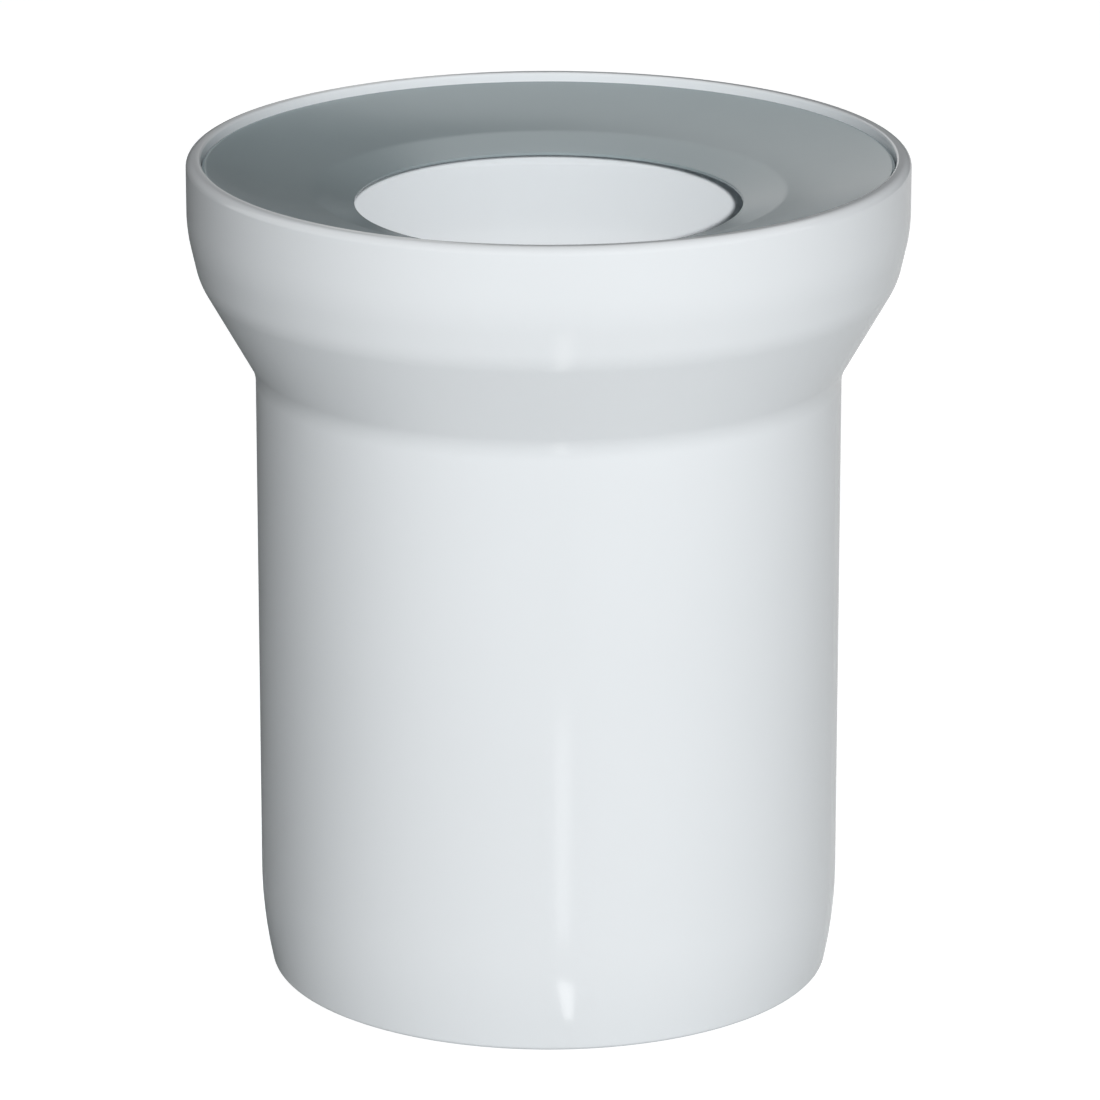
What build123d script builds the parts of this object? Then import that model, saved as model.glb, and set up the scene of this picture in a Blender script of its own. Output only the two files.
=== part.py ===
"""Straight toilet pan connector: a moulded body with a bell mouth and a plain spigot, and a lip seal.

Both pieces are round about Z. The spigot's end stands on Z = 0 and the bell's mouth opens upwards.
Lengths are in millimetres and angles in degrees.
"""

import os
from math import cos, radians, tan

from build123d import *

# Whole connector, from the spigot's end to the rim of the bell
overall_length = 158.0

# Spigot: the straight pipe that is pushed into the drain's socket
spigot_diameter = 110.0
spigot_wall = 4.0
lead_in_height = 20.0
lead_in_depth = 2.1
end_outer_round = 1.0
end_inner_round = 0.3

# Neck: the hollow round between the spigot and the bell's cone
neck_round = 9.0

# Bell: a straight wall from the rim, a slightly tapered wall, and a cone down to the neck
bell_diameter = 135.0
wall_height = 13.0
taper_height = 9.2
taper_angle = 12.5
taper_round = 30.0
cone_angle = 29.5
cone_round = 14.0
cone_wall = 3.6
throat_round = 1.5
bore_round = 6.0

# Mouth: a wider counterbore, with a ledge at its foot for the seal to stand on
mouth_wall = 2.8
mouth_depth = 11.0
ledge_width = 1.0
rim_outer_round = 1.6
rim_inner_round = 0.5

# Retaining groove round the inside of the mouth
groove_drop = 4.6
groove_height = 2.6
groove_depth = 0.7

# Lip seal: a collar in the mouth, a dished membrane and a steeper lip round the inlet
seal_clearance = 0.1
seal_recess = 1.4
collar_wall = 2.2
collar_round = 0.6
web_round = 1.5
membrane_thickness = 2.0
membrane_drop = 5.15
membrane_sag = 0.45
crease_round = 1.2
inlet_diameter = 72.5
lip_width = 7.75
lip_drop = 2.3
lip_edge = 0.5

# Radii of the body's walls
spigot_r = spigot_diameter / 2
bore_r = spigot_r - spigot_wall
bell_r = bell_diameter / 2
mouth_r = bell_r - mouth_wall
throat_r = mouth_r - ledge_width
groove_r = mouth_r + groove_depth

# Heights of the body's corners, worked down from the rim
rim_z = overall_length
ledge_z = rim_z - mouth_depth
groove_top_z = rim_z - groove_drop
groove_foot_z = groove_top_z - groove_height
taper_z = rim_z - wall_height

# The inside of the cone runs parallel to its outside, one wall further in
cone_slope = tan(radians(cone_angle))
cone_wall_across = cone_wall / cos(radians(cone_angle))
cone_top_z = taper_z - taper_height
cone_top_r = bell_r - taper_height * tan(radians(taper_angle))
throat_z = cone_top_z + (throat_r + cone_wall_across - cone_top_r) / cone_slope
bore_top_z = cone_top_z + (bore_r + cone_wall_across - cone_top_r) / cone_slope
neck_z = cone_top_z + (spigot_r - cone_top_r) / cone_slope

# Radii and heights of the seal's corners
seal_r = mouth_r - seal_clearance
bead_r = groove_r - seal_clearance
collar_r = seal_r - collar_wall
inlet_r = inlet_diameter / 2
crease_r = inlet_r + lip_width
seal_top_z = rim_z - seal_recess
crease_z = seal_top_z - membrane_drop
inlet_z = crease_z - lip_drop
bead_top_z = groove_top_z - seal_clearance
bead_foot_z = groove_foot_z + seal_clearance

os.makedirs("parts", exist_ok=True)

# Connector body: one section, turned about the axis
spigot_end = (spigot_r - lead_in_depth, 0)
lead_in_top = (spigot_r, lead_in_height)
body_corners = [
    # spigot's end, its bore and the inside of the bell, up to the ledge under the seal
    ((bore_r, 0), end_inner_round),
    ((bore_r, bore_top_z), bore_round),
    ((throat_r, throat_z), throat_round),
    ((throat_r, ledge_z), 0),
    ((mouth_r, ledge_z), 0),
    # retaining groove
    ((mouth_r, groove_foot_z), 0),
    ((groove_r, groove_foot_z), 0),
    ((groove_r, groove_top_z), 0),
    ((mouth_r, groove_top_z), 0),
    # rim and outside of the bell, down to the neck
    ((mouth_r, rim_z), rim_inner_round),
    ((bell_r, rim_z), rim_outer_round),
    ((bell_r, taper_z), taper_round),
    ((cone_top_r, cone_top_z), cone_round),
    ((spigot_r, neck_z), neck_round),
]

with BuildPart() as connector_body:
    with BuildSketch(Plane.XZ) as body_section:
        with BuildLine():
            FilletPolyline(
                spigot_end,
                *[corner for corner, _ in body_corners],
                lead_in_top,
                radius=[corner_round for _, corner_round in body_corners],
            )
            TangentArc(lead_in_top, spigot_end, tangent=(0, -1))
        make_face()
        fillet(body_section.vertices().sort_by_distance(spigot_end)[0], radius=end_outer_round)
    revolve(axis=Axis.Z)

connector_body.part.label = "connector_body"
export_step(connector_body.part, "parts/connector_body.step")

# Lip seal: its collar stands on the ledge and its bead sits in the groove
collar_edge = (seal_r, seal_top_z)
collar_top = (seal_r, seal_top_z - membrane_thickness)
web = (collar_r, seal_top_z - membrane_thickness)
crease = (crease_r, crease_z)
under_crease = (crease_r, crease_z - membrane_thickness)

with BuildPart() as lip_seal:
    with BuildSketch(Plane.XZ) as seal_section:
        # dished membrane and the lip at its inner edge
        with BuildLine():
            SagittaArc(collar_edge, crease, membrane_sag)
            Polyline(crease, (inlet_r, inlet_z), (inlet_r, inlet_z - lip_edge), under_crease)
            SagittaArc(collar_top, under_crease, membrane_sag)
            Line(collar_top, collar_edge)
        make_face()
        # collar with its bead
        with BuildLine():
            Polyline(
                collar_top,
                (seal_r, bead_top_z),
                (bead_r, bead_top_z),
                (bead_r, bead_foot_z),
                (seal_r, bead_foot_z),
                (seal_r, ledge_z),
                (collar_r, ledge_z),
                web,
                close=True,
            )
        make_face()
        fillet(seal_section.vertices().sort_by_distance(collar_edge)[0], radius=collar_round)
        fillet(seal_section.vertices().sort_by_distance(crease)[0], radius=crease_round)
        fillet(seal_section.vertices().sort_by_distance(under_crease)[0], radius=crease_round)
        fillet(seal_section.vertices().sort_by_distance(web)[0], radius=web_round)
    revolve(axis=Axis.Z)

lip_seal.part.label = "lip_seal"
export_step(lip_seal.part, "parts/lip_seal.step")
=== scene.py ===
# %% [markdown]
# # A toilet pan connector
#
# The object is a short white drain pipe with a bell at its top, and a grey rubber seal that fills the
# bell's mouth. Both pieces are perfectly round, so this lesson draws half of a cut through each one and
# turns it about the upright axis, as a lathe would. The lathe and the two finishes come first, then the
# two pieces, and last the stage, the lamps and the camera.

import math

import bmesh
import bpy
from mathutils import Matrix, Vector


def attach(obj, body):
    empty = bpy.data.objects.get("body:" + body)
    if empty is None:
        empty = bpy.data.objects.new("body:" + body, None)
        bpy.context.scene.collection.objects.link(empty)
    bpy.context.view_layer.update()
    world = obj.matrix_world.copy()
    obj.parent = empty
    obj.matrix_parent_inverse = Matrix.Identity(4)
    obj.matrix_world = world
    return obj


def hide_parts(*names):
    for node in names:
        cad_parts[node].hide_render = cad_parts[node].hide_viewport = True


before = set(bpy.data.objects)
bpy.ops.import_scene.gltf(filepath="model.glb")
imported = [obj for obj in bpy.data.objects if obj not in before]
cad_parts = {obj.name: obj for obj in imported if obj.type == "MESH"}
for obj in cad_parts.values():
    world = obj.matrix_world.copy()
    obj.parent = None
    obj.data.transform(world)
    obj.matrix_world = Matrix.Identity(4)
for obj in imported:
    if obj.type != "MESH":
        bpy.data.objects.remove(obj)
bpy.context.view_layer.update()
print("CAD nodes:", sorted(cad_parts))

# %% [markdown]
# ## One helper for every node
#
# Geometry trees and materials are both made of nodes. One small function adds a node, gives it its
# settings and fills its sockets: a plain value is written into the socket, and another node's output is
# linked to it.


# %% Add a node
def add_node(tree, kind, sockets=None, **settings):
    """Add a node of this kind, with its settings, and fill its input sockets with values or links."""
    node = tree.nodes.new(kind)
    for setting, value in settings.items():
        setattr(node, setting, value)
    for key, value in (sockets or {}).items():
        if isinstance(value, bpy.types.NodeSocket):
            tree.links.new(value, node.inputs[key])
        else:
            node.inputs[key].default_value = value
    return node


# %% [markdown]
# ## The lathe
#
# On the real object, the mould gives both pieces their roundness. Here a Geometry Nodes tree does the
# same job: it takes the outline of the cut as a closed curve, rounds each corner by that point's own
# radius, and sweeps the outline along a circle. A Screw modifier could turn the outline too, but the
# tree keeps the corners sharp and exact in the script and rounds them by itself.

# %% Build the lathe tree
LATHE = bpy.data.node_groups.new("turned_section", "GeometryNodeTree")
LATHE.interface.new_socket("Outline", in_out="INPUT", socket_type="NodeSocketGeometry")
PATH_RADIUS = LATHE.interface.new_socket("Path Radius", in_out="INPUT", socket_type="NodeSocketFloat")
TURN_STEPS = LATHE.interface.new_socket("Turn Steps", in_out="INPUT", socket_type="NodeSocketInt")
CORNER_STEPS = LATHE.interface.new_socket("Corner Steps", in_out="INPUT", socket_type="NodeSocketInt")
FINISH = LATHE.interface.new_socket("Finish", in_out="INPUT", socket_type="NodeSocketMaterial")
LATHE.interface.new_socket("Piece", in_out="OUTPUT", socket_type="NodeSocketGeometry")

sizes = add_node(LATHE, "NodeGroupInput").outputs
corner_radius = add_node(LATHE, "GeometryNodeInputRadius").outputs["Radius"]
rounded = add_node(
    LATHE,
    "GeometryNodeFilletCurve",
    {"Curve": sizes["Outline"], "Count": sizes["Corner Steps"], "Radius": corner_radius},
    mode="POLY",
)
inwards = add_node(LATHE, "ShaderNodeMath", {0: sizes["Path Radius"], 1: -1.0}, operation="MULTIPLY")
to_path = add_node(LATHE, "ShaderNodeCombineXYZ", {"X": inwards.outputs[0]})
# the sweep hangs an outline's Y axis downwards, so it is turned over on its way to the path
on_path = add_node(
    LATHE,
    "GeometryNodeTransform",
    {
        "Geometry": rounded.outputs["Curve"],
        "Translation": to_path.outputs["Vector"],
        "Scale": (1.0, -1.0, 1.0),
    },
)
circle = add_node(
    LATHE,
    "GeometryNodeCurvePrimitiveCircle",
    {"Resolution": sizes["Turn Steps"], "Radius": sizes["Path Radius"]},
    mode="RADIUS",
)
upright = add_node(LATHE, "GeometryNodeSetCurveNormal", {"Curve": circle.outputs["Curve"]}, mode="Z_UP")
swept = add_node(
    LATHE,
    "GeometryNodeCurveToMesh",
    {"Curve": upright.outputs["Curve"], "Profile Curve": on_path.outputs["Geometry"]},
)
whole = add_node(LATHE, "GeometryNodeRealizeInstances", {"Geometry": swept.outputs["Mesh"]})
coated = add_node(
    LATHE,
    "GeometryNodeSetMaterial",
    {"Geometry": whole.outputs["Geometry"], "Material": sizes["Finish"]},
)
add_node(LATHE, "NodeGroupOutput", {"Piece": coated.outputs["Geometry"]})
print("lathe tree:", len(LATHE.nodes), "nodes")

# %% [markdown]
# ## Turning a piece
#
# The next function does by script what one would do by hand: draw the outline as a curve, give it the
# lathe as a modifier, and turn the result into a plain mesh. The corner radius is kept in each curve
# point's own Radius. A sweep's faces may point into the material, as the outline's direction decides
# that, so they are all turned outwards. Edges that stay sharp after the rounding are marked, so that
# the rest shades smoothly.

# %% Turn an outline into a piece
MM = 0.001
MERGE_WITHIN = 0.0001 * MM
SHARP_FROM = math.radians(28)


def turned_piece(name, outline, path_radius, turn_steps, corner_steps, finish):
    """Turn a closed outline of (radius, height, corner round) points, in millimetres, into a mesh."""
    curve = bpy.data.curves.new(name + "_outline", "CURVE")
    curve.dimensions = "3D"
    spline = curve.splines.new("POLY")
    spline.points.add(len(outline) - 1)
    for point, (radius, height, corner_round) in zip(spline.points, outline):
        point.co = (radius * MM, height * MM, 0.0, 1.0)
        point.radius = corner_round * MM
    spline.use_cyclic_u = True
    drawing = bpy.data.objects.new(name + "_outline", curve)
    bpy.context.scene.collection.objects.link(drawing)
    lathe = drawing.modifiers.new("lathe", "NODES")
    lathe.node_group = LATHE
    lathe[PATH_RADIUS.identifier] = path_radius * MM
    lathe[TURN_STEPS.identifier] = turn_steps
    lathe[CORNER_STEPS.identifier] = corner_steps
    lathe[FINISH.identifier] = finish
    evaluated = drawing.evaluated_get(bpy.context.evaluated_depsgraph_get())
    mesh = bpy.data.meshes.new_from_object(evaluated)
    mesh.name = name
    bpy.data.objects.remove(drawing)
    bpy.data.curves.remove(curve)

    shell = bmesh.new()
    shell.from_mesh(mesh)
    bmesh.ops.remove_doubles(shell, verts=shell.verts, dist=MERGE_WITHIN)
    bmesh.ops.recalc_face_normals(shell, faces=shell.faces)
    volume = shell.calc_volume(signed=True) / MM**3
    shell.to_mesh(mesh)
    shell.free()
    mesh.shade_smooth()
    mesh.set_sharp_from_angle(angle=SHARP_FROM)

    piece = bpy.data.objects.new(name, mesh)
    bpy.context.scene.collection.objects.link(piece)
    print(name, "has", len(mesh.polygons), "faces and holds", round(volume), "cubic millimetres")
    return piece


# %% [markdown]
# ## White polypropylene, injection moulded
#
# The body comes out of a polished mould in one shot of white polypropylene. Up close it is a cool,
# slightly uneven white: the melt leaves very faint clouds where it flowed, and the gloss varies a
# little with them. A flat white would look like paper, so two near whites and two near glosses are
# mixed by a slow noise, and a very fine bump gives the soft waviness of a moulded skin.


# %% Colours from their hex values
def srgb(code, alpha=1.0):
    """Turn an sRGB hex colour into the linear values that shaders use."""
    channels = [int(code[i : i + 2], 16) / 255 for i in (1, 3, 5)]
    linear = [c / 12.92 if c <= 0.04045 else ((c + 0.055) / 1.055) ** 2.4 for c in channels]
    return (*linear, alpha)


# %% Start a material
def empty_material(name):
    """Start a material with an empty tree."""
    material = bpy.data.materials.new(name)
    material.use_nodes = True
    material.node_tree.nodes.clear()
    return material, material.node_tree


def new_finish(name):
    """Start a finish: its tree, its Principled shader and the object's own coordinates."""
    material, tree = empty_material(name)
    shader = add_node(tree, "ShaderNodeBsdfPrincipled")
    add_node(tree, "ShaderNodeOutputMaterial", {"Surface": shader.outputs["BSDF"]})
    place = add_node(tree, "ShaderNodeTexCoord").outputs["Object"]
    return material, tree, shader, place


# %% Moulded white polypropylene
# both in millimetres
CLOUD_SIZE = 45.0
SKIN_WAVE = 5.0

polypropylene, tree, shader, place = new_finish("polypropylene_moulded_white")
clouds = add_node(
    tree, "ShaderNodeTexNoise", {"Vector": place, "Scale": 1 / (CLOUD_SIZE * MM), "Detail": 1.0}
)
tint = add_node(
    tree,
    "ShaderNodeMix",
    {"Factor": clouds.outputs["Fac"], 6: srgb("#EFF3F6"), 7: srgb("#F2F6F9")},
    data_type="RGBA",
)
gloss = add_node(
    tree,
    "ShaderNodeMapRange",
    {"Value": clouds.outputs["Fac"], "To Min": 0.12, "To Max": 0.16},
)
skin = add_node(
    tree, "ShaderNodeTexNoise", {"Vector": place, "Scale": 1 / (SKIN_WAVE * MM), "Detail": 1.0}
)
waves = add_node(
    tree, "ShaderNodeBump", {"Height": skin.outputs["Fac"], "Strength": 0.02, "Distance": 0.2 * MM}
)
tree.links.new(tint.outputs[2], shader.inputs["Base Color"])
tree.links.new(gloss.outputs["Result"], shader.inputs["Roughness"])
tree.links.new(waves.outputs["Normal"], shader.inputs["Normal"])
shader.inputs["IOR"].default_value = 1.49
print("finish:", polypropylene.name)

# %% [markdown]
# ## Grey rubber, moulded
#
# The seal is a soft grey rubber with a satin skin. It has a slightly cool colour, a fine dusty grain
# and a broader, duller sheen than the plastic around it. The grain of the dust on real rubber is finer
# than a picture shows, so it is drawn about a millimetre wide.

# %% Moulded grey rubber
# both in millimetres
MOTTLE_SIZE = 18.0
DUST_SIZE = 0.9

rubber, tree, shader, place = new_finish("rubber_moulded_grey")
mottle = add_node(
    tree, "ShaderNodeTexNoise", {"Vector": place, "Scale": 1 / (MOTTLE_SIZE * MM), "Detail": 4.0}
)
grey = add_node(
    tree,
    "ShaderNodeMix",
    {"Factor": mottle.outputs["Fac"], 6: srgb("#9FACB0"), 7: srgb("#A5B2B6")},
    data_type="RGBA",
)
dust = add_node(
    tree, "ShaderNodeTexNoise", {"Vector": place, "Scale": 1 / (DUST_SIZE * MM), "Detail": 2.0}
)
satin = add_node(
    tree,
    "ShaderNodeMapRange",
    {"Value": mottle.outputs["Fac"], "To Min": 0.22, "To Max": 0.27},
)
grain = add_node(
    tree, "ShaderNodeBump", {"Height": dust.outputs["Fac"], "Strength": 0.05, "Distance": 0.1 * MM}
)
tree.links.new(grey.outputs[2], shader.inputs["Base Color"])
tree.links.new(satin.outputs["Result"], shader.inputs["Roughness"])
tree.links.new(grain.outputs["Normal"], shader.inputs["Normal"])
shader.inputs["IOR"].default_value = 1.52
print("finish:", rubber.name)

# %% [markdown]
# ## The moulded body
#
# From the top the body has a rounded rim, a straight wall, a slight taper, a cone and a hollow round at
# the neck. Below it is the plain spigot that is pushed into the drain, with its end drawn in a little
# along a wide curve. The inside follows the outside, with a ledge and a groove in the mouth that hold
# the seal. The sizes are those of the CAD model, because this piece stands for its node.

# %% Sizes of the body, in millimetres
RIM_Z, BELL_R, MOUTH_R, THROAT_R = 158.0, 67.5, 64.7, 63.7
GROOVE_TOP_Z, GROOVE_FOOT_Z, GROOVE_R = 153.4, 150.8, 65.4
LEDGE_Z = 147.0
SPIGOT_R, BORE_R, END_R = 55.0, 51.0, 52.9
TAPER_Z, CONE_TOP_Z = 145.0, 135.8
CONE_TOP_R = BELL_R - (TAPER_Z - CONE_TOP_Z) * math.tan(math.radians(12.5))
CONE_SLOPE = math.tan(math.radians(29.5))
CONE_WALL = 3.6 / math.cos(math.radians(29.5))
THROAT_Z = CONE_TOP_Z + (THROAT_R + CONE_WALL - CONE_TOP_R) / CONE_SLOPE
BORE_TOP_Z = CONE_TOP_Z + (BORE_R + CONE_WALL - CONE_TOP_R) / CONE_SLOPE
NECK_Z = CONE_TOP_Z + (SPIGOT_R - CONE_TOP_R) / CONE_SLOPE
print("the cone runs from", CONE_TOP_Z, "down to the neck at", round(NECK_Z, 1), "millimetres")

# %% Outline of the body
ROUND_STEPS, CORNER_CUTS = 192, 12

# each point is a radius, a height and the round of its corner
body_outline = [
    # rim, retaining groove and the ledge under the seal
    (BELL_R, RIM_Z, 1.6),
    (MOUTH_R, RIM_Z, 0.5),
    (MOUTH_R, GROOVE_TOP_Z, 0.0),
    (GROOVE_R, GROOVE_TOP_Z, 0.0),
    (GROOVE_R, GROOVE_FOOT_Z, 0.0),
    (MOUTH_R, GROOVE_FOOT_Z, 0.0),
    (MOUTH_R, LEDGE_Z, 0.0),
    (THROAT_R, LEDGE_Z, 0.0),
    # inside of the cone and bore
    (THROAT_R, THROAT_Z, 1.5),
    (BORE_R, BORE_TOP_Z, 6.0),
    (BORE_R, 0.0, 0.3),
    # the spigot's end and the wide curve that draws it in
    (END_R, 0.0, 1.0),
    (SPIGOT_R, 10.0, 85.0),
    # neck, cone and taper
    (SPIGOT_R, NECK_Z, 9.0),
    (CONE_TOP_R, CONE_TOP_Z, 14.0),
    (BELL_R, TAPER_Z, 30.0),
]
body_shell = turned_piece("moulded_body", body_outline, BORE_R, ROUND_STEPS, CORNER_CUTS, polypropylene)

# %% [markdown]
# ## The lip seal
#
# The seal's collar stands in the mouth with its bead in the groove. A dished membrane runs inwards from
# it and ends in a steeper lip around the inlet, which stretches over the toilet's outlet. One point with
# a very wide round gives the membrane its dish on each side. The crease above the lip is rounder than in
# the CAD model, by a few hundredths of a millimetre, because real rubber shows hardly a line there.

# %% Outline of the seal
SEAL_R, SEAL_TOP_Z, COLLAR_R = 64.6, 156.6, 62.4
BEAD_R, BEAD_TOP_Z, BEAD_FOOT_Z = 65.3, 153.3, 150.9
CREASE_R, INLET_R = 44.0, 36.25

seal_outline = [
    # collar, with the bead on its outside
    (SEAL_R, SEAL_TOP_Z, 0.6),
    (SEAL_R, BEAD_TOP_Z, 0.0),
    (BEAD_R, BEAD_TOP_Z, 0.0),
    (BEAD_R, BEAD_FOOT_Z, 0.0),
    (SEAL_R, BEAD_FOOT_Z, 0.0),
    (SEAL_R, LEDGE_Z, 0.0),
    (COLLAR_R, LEDGE_Z, 0.0),
    # underside of the membrane, out to the lip's edge
    (COLLAR_R, 153.87, 1.5),
    (53.3, 150.97, 95.0),
    (CREASE_R, 149.45, 1.2),
    (INLET_R, 148.65, 0.0),
    # upper side, back to the collar
    (INLET_R, 149.15, 0.15),
    (CREASE_R, 151.45, 12.0),
    (54.5, 153.15, 112.0),
]
seal_ring = turned_piece("rubber_seal", seal_outline, INLET_R, ROUND_STEPS, CORNER_CUTS, rubber)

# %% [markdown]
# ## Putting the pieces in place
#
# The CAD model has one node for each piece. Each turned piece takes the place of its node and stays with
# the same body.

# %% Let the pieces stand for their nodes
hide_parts("connector_body")
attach(body_shell, "root")
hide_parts("lip_seal")
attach(seal_ring, "root")
print("pieces in place:", body_shell.name, "and", seal_ring.name)

# %% [markdown]
# ## The stage
#
# A wide floor carries the object, and the room around it is white. Both are plain white for the camera,
# and neither puts more light on the object for that: the Light Path node tells which ray asks. Mirrored
# rays see the white room too, and the floor at about half its brightness, fading to black towards the
# left and the back. That fade is a painted dark reflection, standing for a dark cloth beside the object:
# it darkens the object's left edge, which would be lost in an all-white room. Inside the pipe the floor
# is mirrored white all round.
#
# Under that glow the floor has a middle grey paint, which keeps the object's shadow. A paler paint would
# throw the lamps' light back up at the object and lighten the edges that the picture shows dark.


# %% Which rays see the white background
def background_level(tree, seen, mirrored):
    """Give the background's level: one for the camera, one for mirrored rays and those through glass."""
    path = add_node(tree, "ShaderNodeLightPath").outputs
    indirect = add_node(
        tree,
        "ShaderNodeMath",
        {0: path["Is Glossy Ray"], 1: path["Is Transmission Ray"]},
        operation="MAXIMUM",
    )
    dimmed = add_node(tree, "ShaderNodeMath", {0: indirect.outputs[0], 1: mirrored}, operation="MULTIPLY")
    level = add_node(
        tree,
        "ShaderNodeMath",
        {0: path["Is Camera Ray"], 1: seen, 2: dimmed.outputs[0]},
        operation="MULTIPLY_ADD",
    )
    return level.outputs[0]


# %% How brightly the floor is mirrored
MIRRORED_FLOOR = 0.5
FADE_TURNED = math.radians(40)
# painted dark reflection: the floor's mirrored level fades to black towards the left and the back, which
# darkens the object's left edge
# shares of a full turn, where the fade starts and ends
FADE_STOPS = [(0.11, 0.0), (0.25, MIRRORED_FLOOR), (0.82, MIRRORED_FLOOR), (0.86, 0.0)]

floor_paint, tree = empty_material("floor_paint_grey")
place = add_node(tree, "ShaderNodeTexCoord").outputs["Object"]
turned = add_node(tree, "ShaderNodeMapping", {"Vector": place, "Rotation": (0, 0, FADE_TURNED)})
around = add_node(
    tree, "ShaderNodeTexGradient", {"Vector": turned.outputs["Vector"]}, gradient_type="RADIAL"
)
fade = add_node(tree, "ShaderNodeValToRGB", {"Fac": around.outputs["Fac"]})
fade.color_ramp.interpolation = "EASE"
fade.color_ramp.elements[1].color = (0, 0, 0, 1)
for turn, level in FADE_STOPS:
    fade.color_ramp.elements.new(turn).color = (level, level, level, 1)
radius = add_node(tree, "ShaderNodeVectorMath", {0: place}, operation="LENGTH")
inside = add_node(
    tree, "ShaderNodeMath", {0: radius.outputs["Value"], 1: (BORE_R + 1.0) * MM}, operation="LESS_THAN"
)
mirrored = add_node(
    tree, "ShaderNodeMath", {0: fade.outputs["Color"], 1: inside.outputs[0]}, operation="MAXIMUM"
)
print("the floor's fade has", len(fade.color_ramp.elements), "stops")

# %% Floor paint
FLOOR_GLOW = 0.90

paint = add_node(tree, "ShaderNodeBsdfDiffuse", {"Color": srgb("#999D9E")})
floor_level = background_level(tree, FLOOR_GLOW, mirrored.outputs[0])
glow = add_node(tree, "ShaderNodeEmission", {"Strength": floor_level})
both = add_node(tree, "ShaderNodeAddShader", {0: paint.outputs["BSDF"], 1: glow.outputs["Emission"]})
add_node(tree, "ShaderNodeOutputMaterial", {"Surface": both.outputs["Shader"]})
print("stage paint:", floor_paint.name)


# %% Floor
def flat_piece(name, corners, finish):
    """Make one flat face of the stage from its corners in metres."""
    mesh = bpy.data.meshes.new(name)
    mesh.from_pydata(corners, [], [tuple(range(len(corners)))])
    mesh.materials.append(finish)
    piece = bpy.data.objects.new(name, mesh)
    bpy.context.scene.collection.objects.link(piece)
    return piece


HALF = 4.0
flat_piece("floor", [(-HALF, -HALF, 0), (HALF, -HALF, 0), (HALF, HALF, 0), (-HALF, HALF, 0)], floor_paint)
print("the floor is", 2 * HALF, "metres wide")

# %% White room
AMBIENT = 0.04

world = bpy.data.worlds.new("white_room")
bpy.context.scene.world = world
world.use_nodes = True
tree = world.node_tree
tree.nodes.clear()
seen = background_level(tree, 1.0, 1.0)
level = add_node(tree, "ShaderNodeMapRange", {"Value": seen, "To Min": AMBIENT, "To Max": 1.0})
sky = add_node(
    tree, "ShaderNodeBackground", {"Color": srgb("#FFFFFF"), "Strength": level.outputs["Result"]}
)
add_node(tree, "ShaderNodeOutputWorld", {"Surface": sky.outputs["Background"]})
print("the room lights the object at", AMBIENT, "and looks white")

# %% [markdown]
# ## What the gloss mirrors
#
# A smooth seal seen this flat mirrors the room behind it. A dark card that stands far behind on the
# right darkens the left half of the seal. A smaller one stands close behind on the left, where only the
# left of the rim mirrors it. It fades to white towards the middle, so that the rim's shade has no end
# line. A thin bright strip on the floor in front draws the narrow line of light down the spigot. All of
# them show in reflections alone, so they neither light the object nor cover it in another view.


# %% A dark card
def reflected_only(piece):
    """Let a piece of the stage show in reflections and nowhere else."""
    piece.visible_camera = False
    piece.visible_diffuse = False
    piece.visible_shadow = False


card_board, tree = empty_material("card_board_dark")
board = add_node(tree, "ShaderNodeBsdfDiffuse", {"Color": srgb("#1E2121")})
add_node(tree, "ShaderNodeOutputMaterial", {"Surface": board.outputs["BSDF"]})

(x0, y0), (x1, y1), card_height = (-0.05, 2.40), (2.85, 0.0), 1.80
behind_corners = [(x0, y0, 0), (x1, y1, 0), (x1, y1, card_height), (x0, y0, card_height)]
reflected_only(flat_piece("card_behind", behind_corners, card_board))
print("the dark card is", round(math.hypot(x1 - x0, y1 - y0), 2), "metres long")

# %% A card that fades to white
FADE_FROM, FADE_TO = -0.085, -0.045
CARD_LEFT, CARD_Y, CARD_FOOT, CARD_TOP = -0.60, 0.30, 0.12, 0.70

faded_board, tree = empty_material("card_board_faded")
place = add_node(tree, "ShaderNodeTexCoord").outputs["Object"]
across = add_node(tree, "ShaderNodeSeparateXYZ", {"Vector": place}).outputs["X"]
fade = add_node(
    tree, "ShaderNodeMapRange", {"Value": across, "From Min": FADE_FROM, "From Max": FADE_TO}
)
shine = add_node(tree, "ShaderNodeEmission", {"Strength": fade.outputs["Result"]})
add_node(tree, "ShaderNodeOutputMaterial", {"Surface": shine.outputs["Emission"]})

rim_corners = [
    (CARD_LEFT, CARD_Y, CARD_FOOT),
    (FADE_TO, CARD_Y, CARD_FOOT),
    (FADE_TO, CARD_Y, CARD_TOP),
    (CARD_LEFT, CARD_Y, CARD_TOP),
]
reflected_only(flat_piece("card_by_the_rim", rim_corners, faded_board))
print("the faded card stands", CARD_Y, "metres behind the axis")

# %% A bright strip in two parts
ABOVE_FLOOR = 0.0005
strips = [
    ("strip_far", 2.2, [(0.004, -0.112), (0.012, -0.112), (0.030, -0.235), (0.009, -0.235)]),
    ("strip_near", 4.0, [(0.004, -0.062), (0.006, -0.062), (0.009, -0.080), (0.003, -0.084)]),
]
for name, strength, corners in strips:
    shining, tree = empty_material(name)
    shine = add_node(tree, "ShaderNodeEmission", {"Strength": strength})
    add_node(tree, "ShaderNodeOutputMaterial", {"Surface": shine.outputs["Emission"]})
    reflected_only(flat_piece(name, [(x, y, ABOVE_FLOOR) for x, y in corners], shining))
print("strips:", [strip[0] for strip in strips])

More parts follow.
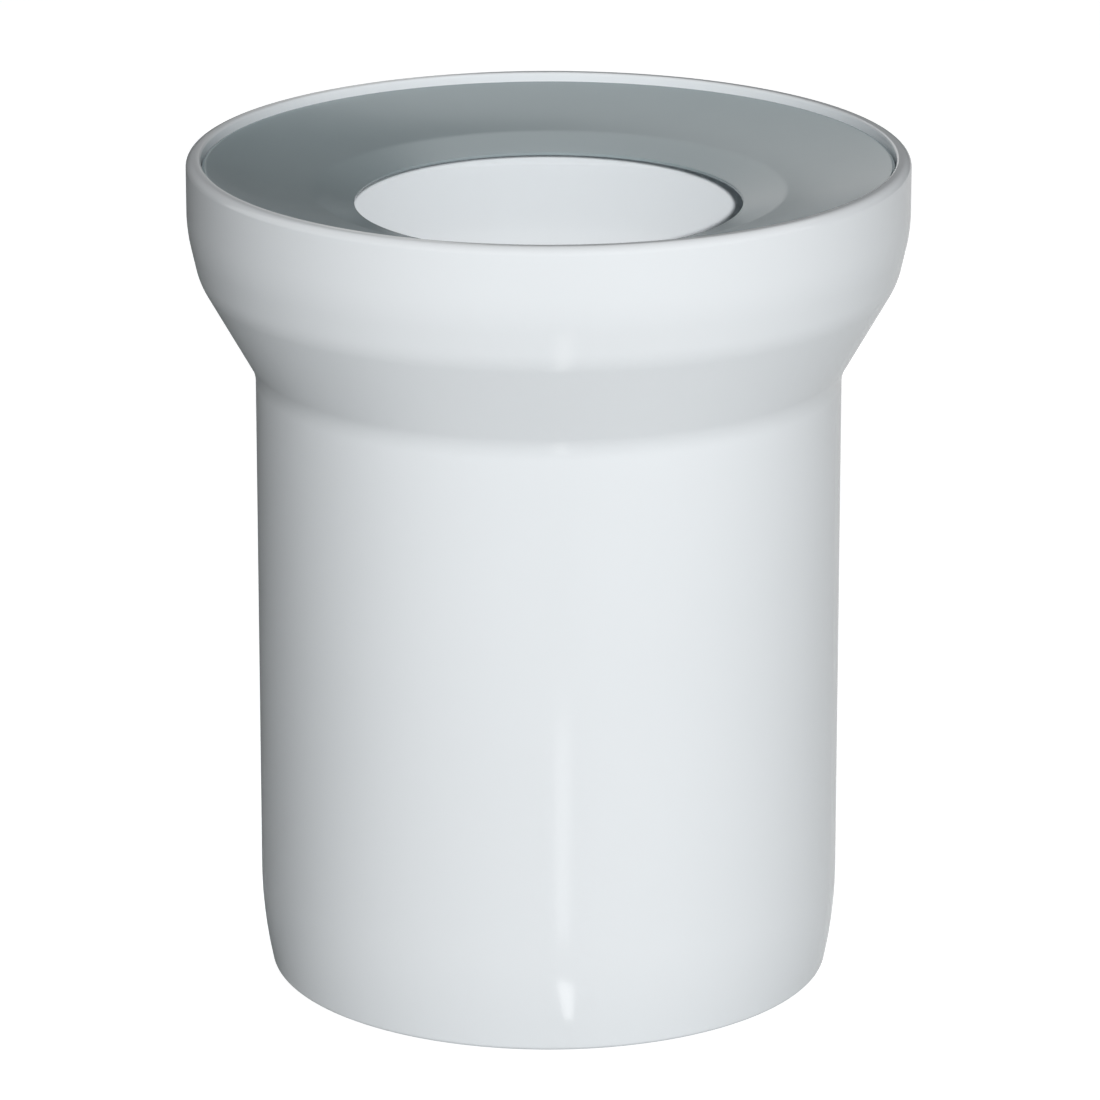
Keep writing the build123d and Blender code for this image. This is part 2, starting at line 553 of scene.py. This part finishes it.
# %% [markdown]
# ## The lamps
#
# The picture's light comes from beside the lens: the front is bright, and the wall darkens towards both
# sides, more on the left. A thin line of shade in the inlet shows that this lamp stands a little to the
# right of the lens and above it. It is left out of reflections, as a polarising filter would do, because
# no bright spot shows on the rim. Three low lamps light the right side and the back. They stand below
# the rim's height, so that the seal is left to the lamp by the lens and to a soft one above, and their
# narrow beams keep off most of the floor.

# %% Lamps
CENTRE = Vector((0.0, 0.0, 0.08))
# name, position and size in metres, spread in degrees, power in watts
lamps = [
    ("lamp_by_the_lens", (0.052, -2.54, 0.84), 0.04, 180, 55.0),
    ("lamp_right", (1.58, 0.0, 0.10), 0.2, 30, 0.15),
    ("lamp_behind", (0.0, 1.58, 0.10), 0.2, 30, 0.40),
    ("lamp_behind_left", (-0.79, 1.37, 0.10), 0.2, 30, 0.12),
    ("lamp_above", (0.0, 0.80, 1.47), 0.7, 180, 4.5),
]
for name, position, size, spread, power in lamps:
    light = bpy.data.lights.new(name, "AREA")
    light.shape = "SQUARE"
    light.size = size
    light.spread = math.radians(spread)
    light.energy = power
    lamp = bpy.data.objects.new(name, light)
    lamp.location = position
    lamp.rotation_euler = (CENTRE - Vector(position)).to_track_quat("-Z", "Y").to_euler()
    lamp.visible_glossy = False
    bpy.context.scene.collection.objects.link(lamp)
print("lamps:", [lamp[0] for lamp in lamps])

# %% [markdown]
# ## The camera
#
# The camera looks slightly down from about the distance of a tabletop photograph. Its place and lens
# were fitted to the outline of the object and to the ellipses of the rim and the inlet.

# %% Camera
CAMERA_BACK, CAMERA_UP, CAMERA_ASIDE = 1.260, 0.4776, 0.00025
LOOK_DOWN = math.radians(17.48)

camera_data = bpy.data.cameras.new("camera")
camera_data.sensor_width = 36.0
camera_data.lens = 228.3
camera = bpy.data.objects.new("camera", camera_data)
camera.location = (CAMERA_ASIDE, -CAMERA_BACK, CAMERA_UP)
camera.rotation_euler = (math.pi / 2 - LOOK_DOWN, 0.0, 0.0)
bpy.context.scene.collection.objects.link(camera)
bpy.context.scene.camera = camera
bpy.context.scene.view_settings.view_transform = "Standard"
print("the camera stands", CAMERA_BACK, "metres back, with a lens of", round(camera_data.lens, 1))
